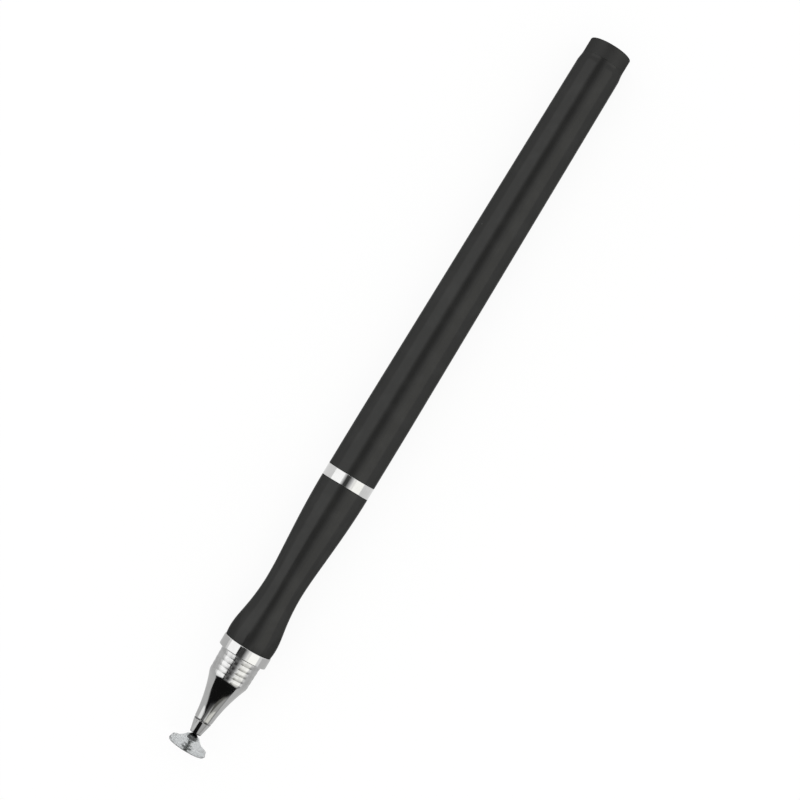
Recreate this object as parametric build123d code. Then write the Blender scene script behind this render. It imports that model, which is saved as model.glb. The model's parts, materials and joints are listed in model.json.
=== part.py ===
from build123d import *
import os

# Sizes are in millimetres. A station is a distance along the pen from the disc's contact face.

# Clearances
BOND_GAP = 0.01  # pressed or glued pieces of one body
RUN_GAP = 0.03  # pieces that turn or slide in each other
END_PLAY = 0.04  # along the pen, each side of the pivot pin's head

# Touch disc
DISC_RADIUS = 3.5
RIM_DRAFT = 0.26
RIM_HEIGHT = 1.1
RIM_ROUND = 0.12
HUB_FLARE_RADIUS = 3.2
HUB_WALL = 0.25  # round the socket's mouth
HUB_CATCH = 0.53  # how far the socket reaches past the ball's middle
SOCKET_FLOOR = 0.84  # from the contact face to the bottom of the socket
FILM_THICKNESS = 0.1
FILM_MARGIN = 0.15
CONTACT_RADIUS = 1.0
CONTACT_THICKNESS = 0.25
CONTACT_STEM_RADIUS = 0.35

# Pivot
BALL_RADIUS = 1.0
BALL_HOLE_DEPTH = 0.5  # past the ball's middle
PIN_RADIUS = 0.32
PIN_HEAD_RADIUS = 0.6
PIN_HEAD_LENGTH = 0.6

# Push-in tip
TIP_GAP = 0.05  # between the ball and the ferrule
FERRULE_LENGTH = 2.5
FERRULE_TIP_RADIUS = 1.05
FERRULE_BACK_RADIUS = 1.6
FERRULE_WALL = 0.65  # in front of the pin's head
FERRULE_EDGE = 0.12
SEAM_GAP = 0.18  # the groove line between ferrule and nose
SHANK_RADIUS = 0.8
SHANK_END_GAP = 0.3  # in front of the plug behind the spring sleeve
SHANK_CHAMFER = 0.2

# Nose
NOSE_TIP_RADIUS = 1.66
CONE_LENGTH = 7.7
CONE_BACK_RADIUS = 3.5
CONE_FLARE_RADIUS = 28.0
GUIDE_LENGTH = 2.0
RIB_COUNT = 5
RIB_PITCH = 0.94
FRONT_RIB_LENGTH = 1.15
RIB_DEPTH = 0.045
NECK_FRONT_RADIUS = 3.62
NECK_BACK_RADIUS = 3.77
FLANGE_RADIUS = 4.5
FLANGE_LENGTH = 2.0
FLANGE_EDGE = 0.15
NOSE_THREAD_END_GAP = 0.2  # inside the back of the grip's bush
CLIP_RADIUS = 1.35
CLIP_LENGTH = 9.0
CLIP_SLIT = 0.35
CLIP_PLUG_LENGTH = 2.4
PLUG_SLOT_WIDTH = 0.5
PLUG_SLOT_DEPTH = 0.6

# Grip
GRIP_LENGTH = 31.6
GRIP_LIP_RADIUS = 4.37
GRIP_LIP_SLOPE = 0.12
GRIP_SHOULDER_AT = 1.5  # from the grip's front
GRIP_SHOULDER_RADIUS = 4.475
GRIP_FRONT_FLANK_AT = 5.6  # from the grip's front
GRIP_FRONT_FLANK_RADIUS = 3.96
GRIP_WAIST_AT = 11.2  # from the grip's front
GRIP_WAIST_RADIUS = 3.445
GRIP_REAR_FLANK_BACK = 14.6  # from the grip's rear
GRIP_REAR_FLANK_RADIUS = 3.705
GRIP_HAUNCH_BACK = 7.6  # from the grip's rear
GRIP_HAUNCH_RADIUS = 4.21
GRIP_REAR_RADIUS = 4.46
GRIP_BORE_RADIUS = 2.0
GRIP_WALL = 0.96  # round the bush, at the front flank
GRIP_BUSH_WALL = 0.6
GRIP_BUSH_LENGTH = 6.8

# Centre ring and coupling
RING_LENGTH = 2.2
RING_RADIUS = 4.48
RING_EDGE = 0.12
COUPLING_RADIUS = 2.9
COUPLING_IN_GRIP = 8.0
COUPLING_THREAD_LENGTH = 7.0
COUPLING_WALL = 0.8  # of its threaded half

# Barrel and tail
BARREL_RADIUS = 4.46
BARREL_STRAIGHT = 11.0
BARREL_TAPER = 69.9
BARREL_TAIL_RADIUS = 4.06
SHOULDER_LENGTH = 1.7
SHOULDER_DROP = 0.18
BARREL_WALL = 0.58  # at the foot of the shoulder, where it is thinnest
BARREL_BUSH_WALL = 0.7
BARREL_BUSH_LENGTH = 7.5
TAIL_STEP = 0.02  # in from the foot of the shoulder
TAIL_LENGTH = 2.8
TAIL_ROUND = 0.2
SPIGOT_LENGTH = 6.0
SPIGOT_GAP = 0.04
SPIGOT_CHAMFER = 0.4
PLUG_RING_WIRE = 0.8
PLUG_RING_AT = 3.0  # from the tail plug's shoulder to the middle of its rubber ring
PLUG_GROOVE_ROOM = 0.1  # each side of the ring

# Radii that follow from the walls, from the outside in
GRIP_BUSH_RADIUS = GRIP_FRONT_FLANK_RADIUS - GRIP_WALL
NOSE_THREAD_RADIUS = GRIP_BUSH_RADIUS - GRIP_BUSH_WALL
SHOULDER_RADIUS = BARREL_TAIL_RADIUS - SHOULDER_DROP
TAIL_RADIUS = SHOULDER_RADIUS - TAIL_STEP
BARREL_BORE_RADIUS = SHOULDER_RADIUS - BARREL_WALL
COUPLING_THREAD_RADIUS = BARREL_BORE_RADIUS - BARREL_BUSH_WALL
COUPLING_BORE_RADIUS = COUPLING_THREAD_RADIUS - COUPLING_WALL

# Stations. Each bush begins behind a seal as thick as its wall.
SOCKET_RADIUS = BALL_RADIUS + RUN_GAP
BALL_AT = SOCKET_FLOOR + SOCKET_RADIUS
HUB_TOP = BALL_AT + HUB_CATCH
FERRULE_FRONT = BALL_AT + BALL_RADIUS + TIP_GAP
FERRULE_BACK = FERRULE_FRONT + FERRULE_LENGTH
PIN_HEAD_AT = FERRULE_FRONT + FERRULE_WALL + END_PLAY
SHANK_FRONT = PIN_HEAD_AT + PIN_HEAD_LENGTH + END_PLAY
NOSE_FRONT = FERRULE_BACK + SEAM_GAP
CLIP_FRONT = NOSE_FRONT + GUIDE_LENGTH
CLIP_BACK = CLIP_FRONT + CLIP_LENGTH
SHANK_BACK = CLIP_BACK - SHANK_END_GAP
NECK_FRONT = NOSE_FRONT + CONE_LENGTH
FLANGE_FRONT = NECK_FRONT + FRONT_RIB_LENGTH + (RIB_COUNT - 1) * RIB_PITCH
GRIP_FRONT = FLANGE_FRONT + FLANGE_LENGTH
GRIP_BUSH_FRONT = GRIP_FRONT + GRIP_BUSH_WALL
GRIP_BUSH_BACK = GRIP_BUSH_FRONT + GRIP_BUSH_LENGTH
RING_FRONT = GRIP_FRONT + GRIP_LENGTH
BARREL_FRONT = RING_FRONT + RING_LENGTH
BARREL_BUSH_FRONT = BARREL_FRONT + BARREL_BUSH_WALL
TAPER_FRONT = BARREL_FRONT + BARREL_STRAIGHT
SHOULDER_FRONT = TAPER_FRONT + BARREL_TAPER
TAIL_FRONT = SHOULDER_FRONT + SHOULDER_LENGTH
PEN_LENGTH = TAIL_FRONT + TAIL_LENGTH

# The pen lies along X on its widest piece, with the middle of its length over the origin.
AXIS_HEIGHT = max(FLANGE_RADIUS, RING_RADIUS, BARREL_RADIUS, BARREL_TAIL_RADIUS, GRIP_SHOULDER_RADIUS)
LYING = Pos(-PEN_LENGTH / 2, 0, AXIS_HEIGHT)


# Turning helpers: an outline is drawn with the station as x and the radius as y.


def turn(*lines):
    """A solid turned about the pen's axis from lines that close an outline."""
    return revolve(make_face(Curve() + list(lines)), Axis.X)


def turn_corners(*corners):
    """A solid turned from an outline of straight lines."""
    return turn(Polyline(*corners, close=True))


def rod(front, back, radius):
    """A plain cylinder between two stations."""
    return turn_corners((front, 0), (front, radius), (back, radius), (back, 0))


def tube(front, back, outer, inner):
    """A plain tube between two stations."""
    return turn_corners((front, inner), (front, outer), (back, outer), (back, inner))


def seal(front, inner, outer):
    """A rubber ring of round wire that fills the room between two walls, behind a face at a station."""
    half_room = (outer - inner) / 2
    return revolve(Pos(front + half_room, inner + half_room) * Circle(half_room - BOND_GAP), Axis.X)


def socket():
    """The ball's room in the disc."""
    return Pos(BALL_AT, 0, 0) * Sphere(SOCKET_RADIUS)


# Touch disc


def disc_film():
    """The thin film on the contact face, round the contact."""
    return tube(0, FILM_THICKNESS, DISC_RADIUS - FILM_MARGIN, CONTACT_RADIUS + BOND_GAP)


def disc_contact():
    """The contact rivet: a flat pad on the contact face and a stem up to the ball."""
    pad = rod(0, CONTACT_THICKNESS, CONTACT_RADIUS)
    stem = rod(CONTACT_THICKNESS, BALL_AT, CONTACT_STEM_RADIUS)
    return pad + stem - socket()


def touch_disc():
    """The clear disc: a drafted rim, a flared hub, the socket and the rivet's hole."""
    base = FILM_THICKNESS
    rim_top = DISC_RADIUS - RIM_DRAFT
    hub_top = (SOCKET_RADIUS**2 - HUB_CATCH**2) ** 0.5 + HUB_WALL
    disc = turn(
        Polyline((HUB_TOP, hub_top), (HUB_TOP, 0), (base, 0), (base, DISC_RADIUS - RIM_ROUND)),
        Line((base, DISC_RADIUS - RIM_ROUND), (base + RIM_ROUND, DISC_RADIUS)),
        Line((base + RIM_ROUND, DISC_RADIUS), (RIM_HEIGHT, rim_top)),
        RadiusArc((RIM_HEIGHT, rim_top), (HUB_TOP, hub_top), -HUB_FLARE_RADIUS),
    )
    pad_hole = rod(base, CONTACT_THICKNESS + BOND_GAP, CONTACT_RADIUS + BOND_GAP)
    stem_hole = rod(base, BALL_AT, CONTACT_STEM_RADIUS + BOND_GAP)
    return disc - socket() - pad_hole - stem_hole


# Pivot


def pivot_ball():
    """The ball, with a blind hole for its pin."""
    hole = rod(BALL_AT - BALL_HOLE_DEPTH, BALL_AT + BALL_RADIUS, PIN_RADIUS + BOND_GAP)
    return Pos(BALL_AT, 0, 0) * Sphere(BALL_RADIUS) - hole


def pivot_pin():
    """The pin that carries the ball, with its head held in the ferrule."""
    pin = rod(BALL_AT - BALL_HOLE_DEPTH + BOND_GAP, PIN_HEAD_AT, PIN_RADIUS)
    head = rod(PIN_HEAD_AT, PIN_HEAD_AT + PIN_HEAD_LENGTH, PIN_HEAD_RADIUS)
    return pin + head


# Push-in tip


def tip_ferrule():
    """The small cone that holds the pin's head in front and the shank behind."""
    cone = turn_corners(
        (FERRULE_FRONT, 0),
        (FERRULE_FRONT, FERRULE_TIP_RADIUS - FERRULE_EDGE),
        (FERRULE_FRONT + FERRULE_EDGE, FERRULE_TIP_RADIUS),
        (FERRULE_BACK - FERRULE_EDGE, FERRULE_BACK_RADIUS),
        (FERRULE_BACK, FERRULE_BACK_RADIUS - FERRULE_EDGE),
        (FERRULE_BACK, 0),
    )
    pin_hole = rod(FERRULE_FRONT, SHANK_FRONT, PIN_RADIUS + RUN_GAP)
    head_room = rod(PIN_HEAD_AT - END_PLAY, SHANK_FRONT, PIN_HEAD_RADIUS + RUN_GAP)
    shank_hole = rod(SHANK_FRONT, FERRULE_BACK, SHANK_RADIUS + BOND_GAP)
    return cone - pin_hole - head_room - shank_hole


def tip_shank():
    """The shank that plugs into the nose."""
    return turn_corners(
        (SHANK_FRONT, 0),
        (SHANK_FRONT, SHANK_RADIUS),
        (SHANK_BACK - SHANK_CHAMFER, SHANK_RADIUS),
        (SHANK_BACK, SHANK_RADIUS - SHANK_CHAMFER),
        (SHANK_BACK, 0),
    )


# Nose


def crest_radius(station):
    """The radius over the ribs, which grows a little towards the flange."""
    share = (station - NECK_FRONT) / (FLANGE_FRONT - NECK_FRONT)
    return NECK_FRONT_RADIUS + (NECK_BACK_RADIUS - NECK_FRONT_RADIUS) * share


def rib_start(number):
    """Where a rib begins, counted from the cone: on the cone's edge, or in a valley."""
    if number == 0:
        return NECK_FRONT, CONE_BACK_RADIUS
    station = NECK_FRONT + FRONT_RIB_LENGTH + (number - 1) * RIB_PITCH
    return station, crest_radius(station) - RIB_DEPTH


def rib(number):
    """The rounded top of one rib."""
    front, back = rib_start(number), rib_start(number + 1)
    middle = (front[0] + back[0]) / 2
    return ThreePointArc(front, (middle, crest_radius(middle)), back)


def nose_cone():
    """The bright nose: flared cone, ribs, flange and threaded shank, bored for the clip and the tip."""
    thread_back = GRIP_BUSH_BACK - NOSE_THREAD_END_GAP
    solid = turn(
        Polyline(
            rib_start(RIB_COUNT),
            (FLANGE_FRONT, FLANGE_RADIUS - FLANGE_EDGE),
            (FLANGE_FRONT + FLANGE_EDGE, FLANGE_RADIUS),
            (GRIP_FRONT - FLANGE_EDGE, FLANGE_RADIUS),
            (GRIP_FRONT, FLANGE_RADIUS - FLANGE_EDGE),
            (GRIP_FRONT, NOSE_THREAD_RADIUS),
            (thread_back, NOSE_THREAD_RADIUS),
            (thread_back, 0),
            (NOSE_FRONT, 0),
            (NOSE_FRONT, NOSE_TIP_RADIUS),
        ),
        RadiusArc((NOSE_FRONT, NOSE_TIP_RADIUS), rib_start(0), -CONE_FLARE_RADIUS),
        *[rib(number) for number in range(RIB_COUNT)],
    )
    guide = rod(NOSE_FRONT, CLIP_FRONT, SHANK_RADIUS + RUN_GAP)
    clip_room = rod(CLIP_FRONT, thread_back, CLIP_RADIUS)
    return solid - guide - clip_room


def tip_clip():
    """The spring sleeve that grips the shank, slit along one side."""
    sleeve = tube(CLIP_FRONT, CLIP_BACK, CLIP_RADIUS - BOND_GAP, SHANK_RADIUS + RUN_GAP)
    slit = Box(CLIP_LENGTH, CLIP_SLIT, CLIP_RADIUS, align=(Align.MIN, Align.CENTER, Align.MIN))
    return sleeve - Pos(CLIP_FRONT, 0, 0) * slit


def clip_plug():
    """The plug behind the clip, with a slot to turn it by."""
    back = CLIP_BACK + CLIP_PLUG_LENGTH
    at_back = (Align.MAX, Align.CENTER, Align.CENTER)
    slot = Box(PLUG_SLOT_DEPTH, 2 * CLIP_RADIUS, PLUG_SLOT_WIDTH, align=at_back)
    return rod(CLIP_BACK, back, CLIP_RADIUS - BOND_GAP) - Pos(back, 0, 0) * slot


def nose_seal():
    """The rubber ring between the flange and the grip's bush."""
    return seal(GRIP_FRONT, NOSE_THREAD_RADIUS, GRIP_BUSH_RADIUS)


# Grip


def grip_bush():
    """The brass bush that the nose screws into."""
    inner = NOSE_THREAD_RADIUS + BOND_GAP
    return tube(GRIP_BUSH_FRONT, GRIP_BUSH_BACK, GRIP_BUSH_RADIUS - BOND_GAP, inner)


def grip():
    """The waisted grip, bored for the bush in front and the coupling behind."""
    front, back = GRIP_FRONT, RING_FRONT
    outline = Spline(
        (front, GRIP_LIP_RADIUS),
        (front + GRIP_SHOULDER_AT, GRIP_SHOULDER_RADIUS),
        (front + GRIP_FRONT_FLANK_AT, GRIP_FRONT_FLANK_RADIUS),
        (front + GRIP_WAIST_AT, GRIP_WAIST_RADIUS),
        (back - GRIP_REAR_FLANK_BACK, GRIP_REAR_FLANK_RADIUS),
        (back - GRIP_HAUNCH_BACK, GRIP_HAUNCH_RADIUS),
        (back, GRIP_REAR_RADIUS),
        tangents=[(1, GRIP_LIP_SLOPE), (1, 0)],
        tangent_scalars=[1, 1],
    )
    ends = Polyline((back, GRIP_REAR_RADIUS), (back, 0), (front, 0), (front, GRIP_LIP_RADIUS))
    bush_room = rod(front, GRIP_BUSH_BACK, GRIP_BUSH_RADIUS)
    coupling_room = rod(back - COUPLING_IN_GRIP, back, COUPLING_RADIUS)
    return turn(outline, ends) - rod(front, back, GRIP_BORE_RADIUS) - bush_room - coupling_room


# Centre ring and coupling


def centre_ring():
    """The trim ring, with its edges broken."""
    inner = COUPLING_RADIUS
    return turn_corners(
        (RING_FRONT, inner),
        (RING_FRONT, RING_RADIUS - RING_EDGE),
        (RING_FRONT + RING_EDGE, RING_RADIUS),
        (BARREL_FRONT - RING_EDGE, RING_RADIUS),
        (BARREL_FRONT, RING_RADIUS - RING_EDGE),
        (BARREL_FRONT, inner),
    )


def coupling():
    """The hollow coupling: a plain half in the grip and ring, a threaded half in the barrel."""
    plain_front, thread_back = RING_FRONT - COUPLING_IN_GRIP, BARREL_FRONT + COUPLING_THREAD_LENGTH
    plain = rod(plain_front, BARREL_FRONT, COUPLING_RADIUS - BOND_GAP)
    thread = rod(BARREL_FRONT, thread_back, COUPLING_THREAD_RADIUS)
    return plain + thread - rod(plain_front, thread_back, COUPLING_BORE_RADIUS)


def coupling_seal():
    """The rubber ring between the centre ring and the barrel's bush."""
    return seal(BARREL_FRONT, COUPLING_THREAD_RADIUS, BARREL_BORE_RADIUS)


# Barrel and tail


def barrel_bush():
    """The brass bush in the barrel's mouth that the coupling screws into."""
    back = BARREL_BUSH_FRONT + BARREL_BUSH_LENGTH
    return tube(BARREL_BUSH_FRONT, back, BARREL_BORE_RADIUS - BOND_GAP, COUPLING_THREAD_RADIUS + BOND_GAP)


def upper_barrel():
    """The barrel: a straight front, a long taper and a soft shoulder at the tail."""
    along = (1, 0)
    return turn(
        Polyline(
            (TAIL_FRONT, SHOULDER_RADIUS),
            (TAIL_FRONT, BARREL_BORE_RADIUS),
            (BARREL_FRONT, BARREL_BORE_RADIUS),
            (BARREL_FRONT, BARREL_RADIUS),
            (TAPER_FRONT, BARREL_RADIUS),
            (SHOULDER_FRONT, BARREL_TAIL_RADIUS),
        ),
        Spline((SHOULDER_FRONT, BARREL_TAIL_RADIUS), (TAIL_FRONT, SHOULDER_RADIUS), tangents=[along, along]),
    )


def groove_floor():
    """The radius at the bottom of the tail plug's groove."""
    return BARREL_BORE_RADIUS - PLUG_RING_WIRE


def plug_ring():
    """The rubber ring that holds the tail plug in the bore."""
    ring_front = TAIL_FRONT - PLUG_RING_AT - PLUG_RING_WIRE / 2
    return seal(ring_front, groove_floor(), BARREL_BORE_RADIUS)


def tail_plug():
    """The narrower tail end, with a grooved spigot in the barrel's bore."""
    spigot_front, spigot_radius = TAIL_FRONT - SPIGOT_LENGTH, BARREL_BORE_RADIUS - SPIGOT_GAP
    plug = turn(
        Polyline(
            (PEN_LENGTH, TAIL_RADIUS - TAIL_ROUND),
            (PEN_LENGTH, 0),
            (spigot_front, 0),
            (spigot_front, spigot_radius - SPIGOT_CHAMFER),
            (spigot_front + SPIGOT_CHAMFER, spigot_radius),
            (TAIL_FRONT, spigot_radius),
            (TAIL_FRONT, TAIL_RADIUS),
            (PEN_LENGTH - TAIL_ROUND, TAIL_RADIUS),
        ),
        RadiusArc((PEN_LENGTH - TAIL_ROUND, TAIL_RADIUS), (PEN_LENGTH, TAIL_RADIUS - TAIL_ROUND), TAIL_ROUND),
    )
    half_groove = PLUG_RING_WIRE / 2 + PLUG_GROOVE_ROOM
    ring_at = TAIL_FRONT - PLUG_RING_AT
    return plug - tube(ring_at - half_groove, ring_at + half_groove, BARREL_BORE_RADIUS, groove_floor())


PIECES = [
    disc_film,
    touch_disc,
    disc_contact,
    pivot_ball,
    pivot_pin,
    tip_ferrule,
    tip_shank,
    nose_cone,
    tip_clip,
    clip_plug,
    nose_seal,
    grip_bush,
    grip,
    coupling,
    centre_ring,
    coupling_seal,
    barrel_bush,
    upper_barrel,
    plug_ring,
    tail_plug,
]

os.makedirs("parts", exist_ok=True)
for piece in PIECES:
    export_step(LYING * piece(), f"parts/{piece.__name__}.step")
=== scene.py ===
"""Scene of a slim stylus pen that lies on a white table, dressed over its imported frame.

Outlines are drawn in millimetres in the part's own frame. A station is a place along X, which runs from
the touch disc to the tail, and a radius is measured from the pen's axis. Finishes and the studio are set in
metres and degrees.
"""

import json
import logging
import math
from dataclasses import dataclass
from enum import Enum
from typing import Any, Optional, Sequence

import bpy
from mathutils import Matrix, Vector

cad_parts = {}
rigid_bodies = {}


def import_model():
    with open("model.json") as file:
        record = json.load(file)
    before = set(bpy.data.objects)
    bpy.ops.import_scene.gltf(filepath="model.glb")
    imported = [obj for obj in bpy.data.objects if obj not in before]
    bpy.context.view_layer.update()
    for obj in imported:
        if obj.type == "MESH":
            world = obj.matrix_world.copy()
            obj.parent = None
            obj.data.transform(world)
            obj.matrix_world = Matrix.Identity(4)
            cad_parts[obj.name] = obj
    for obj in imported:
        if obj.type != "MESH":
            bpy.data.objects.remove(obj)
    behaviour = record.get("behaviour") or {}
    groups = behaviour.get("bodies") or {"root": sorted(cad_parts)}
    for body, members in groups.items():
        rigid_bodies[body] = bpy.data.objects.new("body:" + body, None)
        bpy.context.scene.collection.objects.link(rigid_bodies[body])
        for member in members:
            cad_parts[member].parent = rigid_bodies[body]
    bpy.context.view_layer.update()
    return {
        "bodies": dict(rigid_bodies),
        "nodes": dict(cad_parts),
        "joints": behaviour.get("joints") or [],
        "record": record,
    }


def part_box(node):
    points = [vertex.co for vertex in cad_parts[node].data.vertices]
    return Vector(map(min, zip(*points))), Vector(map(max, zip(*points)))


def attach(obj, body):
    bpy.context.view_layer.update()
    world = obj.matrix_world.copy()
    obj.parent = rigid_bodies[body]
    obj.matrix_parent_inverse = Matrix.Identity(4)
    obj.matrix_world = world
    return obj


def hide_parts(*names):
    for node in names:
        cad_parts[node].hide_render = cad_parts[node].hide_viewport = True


log = logging.getLogger("stylus_pen")

MM = 0.001

Pair = tuple[float, float]
Colour = tuple[float, float, float]
Socket = bpy.types.NodeSocket
Sockets = dict[str, Socket]

WHITE = (1.0, 1.0, 1.0, 1.0)
GREY = 0.68


class Body(Enum):
    """The bodies of the frame that pieces ride on."""

    PEN = "pen"
    TIP = "tip"
    PIVOT = "pivot"
    DISC = "disc"


class Slot(Enum):
    """The record's material slots."""

    BLACK_LACQUER = "black_lacquer"
    BLACK_PLASTIC = "black_plastic"
    CHROME = "chrome"
    CLEAR_PLASTIC = "clear_plastic"
    CLEAR_FILM = "clear_film"
    DARK_METAL = "dark_metal"
    STEEL = "steel"
    SPRING_BRONZE = "spring_bronze"
    BRASS = "brass"
    RUBBER = "rubber"


class Ray(Enum):
    """The kinds of ray that see the white of the table."""

    CAMERA = "Is Camera Ray"
    GLOSSY = "Is Glossy Ray"
    TRANSMISSION = "Is Transmission Ray"


# Turning


@dataclass(frozen=True)
class Span:
    """Where a node of the frame lies along the pen, in millimetres."""

    front: float
    back: float
    radius: float

    @classmethod
    def of(cls, node: str) -> "Span":
        """Read a node's span from its box in the frame.

        Args:
            node: The node's name.

        Returns:
            The stations of its two ends and its largest radius.
        """
        low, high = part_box(node)
        return cls(low[0] / MM, high[0] / MM, (high[1] - low[1]) / 2 / MM)


@dataclass(frozen=True)
class Knot:
    """A point that a smooth outline passes through, with its slope there."""

    station: float
    radius: float
    slope: float = 0.0


class Outline:
    """A piece's half section, drawn clockwise, so that the outside lies on the left of the line."""

    SUPPORT = 0.05
    QUARTER_RISE = math.tan(math.pi / 8) / 2

    def __init__(self, station: float, radius: float) -> None:
        """Start the outline at a point."""
        self.points: list[Pair] = [(station, radius)]

    def line(self, station: float, radius: float) -> "Outline":
        """Draw a straight stretch, with a point near each end that keeps its shading flat.

        Args:
            station: Station of its end.
            radius: Radius of its end.

        Returns:
            This outline.
        """
        start, end = Vector(self.points[-1]), Vector((station, radius))
        run = end - start
        if run.length > 4 * self.SUPPORT:
            inset = run.normalized() * self.SUPPORT
            self.points += [tuple(start + inset), tuple(end - inset)]
        self.points.append((station, radius))
        return self

    def arc(self, station: float, radius: float, rise: float, steps: int = 6) -> "Outline":
        """Draw a round stretch.

        Args:
            station: Station of its end.
            radius: Radius of its end.
            rise: Height of the arc over its chord, positive where it bulges to the outside.
            steps: Number of straight steps.

        Returns:
            This outline.
        """
        start, end = Vector(self.points[-1]), Vector((station, radius))
        chord = end - start
        left = Vector((-chord.y, chord.x)).normalized()
        sweep = 2 * math.atan(2 * rise / chord.length)
        bend = chord.length / 2 / math.sin(sweep)
        for step in range(1, steps + 1):
            angle = sweep * (2 * step / steps - 1)
            along = 0.5 + math.sin(angle) / math.sin(sweep) / 2
            over = bend * (math.cos(angle) - math.cos(sweep))
            self.points.append(tuple(start + chord * along + left * over))
        return self

    def edge(self, station: float, radius: float, steps: int = 4) -> "Outline":
        """Round an outer edge by a quarter turn up to a point, and return this outline."""
        chord = (Vector((station, radius)) - Vector(self.points[-1])).length
        return self.arc(station, radius, chord * self.QUARTER_RISE, steps)

    def front_edge(self, station: float, radius: float, rounding: float) -> "Outline":
        """Go up a front face to its outer edge, round that, and return this outline."""
        return self.line(station, radius - rounding).edge(station + rounding, radius)

    def back_edge(self, station: float, radius: float, rounding: float, steps: int = 4) -> "Outline":
        """Go along to the outer edge of a back face, round that, and return this outline."""
        return self.line(station - rounding, radius).edge(station, radius - rounding, steps)

    def close(self) -> "Outline":
        """Draw a straight stretch back to the start, and return this outline."""
        return self.line(*self.points[0])

    def curve(self, knots: Sequence[Knot], pitch: float) -> "Outline":
        """Draw a smooth stretch through knots, the first of which is the point reached so far.

        Args:
            knots: The points, with their slopes.
            pitch: Longest step along the pen.

        Returns:
            This outline.
        """
        for start, end in zip(knots, knots[1:]):
            run = end.station - start.station
            steps = math.ceil(run / pitch)
            for step in range(1, steps + 1):
                share = step / steps
                rest = 1 - share
                radius = (
                    rest * rest * ((1 + 2 * share) * start.radius + share * run * start.slope)
                    + share * share * ((1 + 2 * rest) * end.radius - rest * run * end.slope)
                )
                self.points.append((start.station + run * share, radius))
        return self


@dataclass(frozen=True)
class Lathe:
    """Turns outlines about the pen's axis."""

    axis_height: float
    segments: int = 144
    weld: float = 1e-7
    smooth_angle: float = math.radians(28)

    @classmethod
    def on(cls, node: str) -> "Lathe":
        """Set a lathe up on the axis of a node that was turned about it."""
        low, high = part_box(node)
        return cls((low[2] + high[2]) / 2)

    def turn(self, name: str, outline: Outline) -> bpy.types.Object:
        """Turn a piece: one point is drawn out along the outline and spun about the axis.

        Args:
            name: The piece's name.
            outline: Its half section, closed on itself or by the axis.

        Returns:
            The finished object, at the origin.
        """
        places = [
            Vector((station * MM, 0, self.axis_height + radius * MM)) for station, radius in outline.points
        ]
        bpy.ops.object.select_all(action="DESELECT")
        bpy.ops.mesh.primitive_plane_add(size=MM, location=places[0])
        piece = bpy.context.object
        piece.name = piece.data.name = name
        bpy.ops.object.mode_set(mode="EDIT")
        bpy.ops.mesh.select_all(action="SELECT")
        bpy.ops.mesh.merge(type="CENTER")
        for here, there in zip(places, places[1:]):
            bpy.ops.mesh.extrude_region_move(TRANSFORM_OT_translate={"value": there - here})
        bpy.ops.mesh.select_all(action="SELECT")
        bpy.ops.mesh.spin(
            steps=self.segments, angle=2 * math.pi, center=(0, 0, self.axis_height), axis=(1, 0, 0)
        )
        bpy.ops.mesh.select_all(action="SELECT")
        bpy.ops.mesh.remove_doubles(threshold=self.weld)
        bpy.ops.mesh.normals_make_consistent(inside=False)
        bpy.ops.object.mode_set(mode="OBJECT")
        bpy.ops.object.transform_apply(location=True, rotation=True, scale=True)
        bpy.ops.object.shade_smooth_by_angle(angle=self.smooth_angle)
        return piece


# Shader nodes


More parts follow.
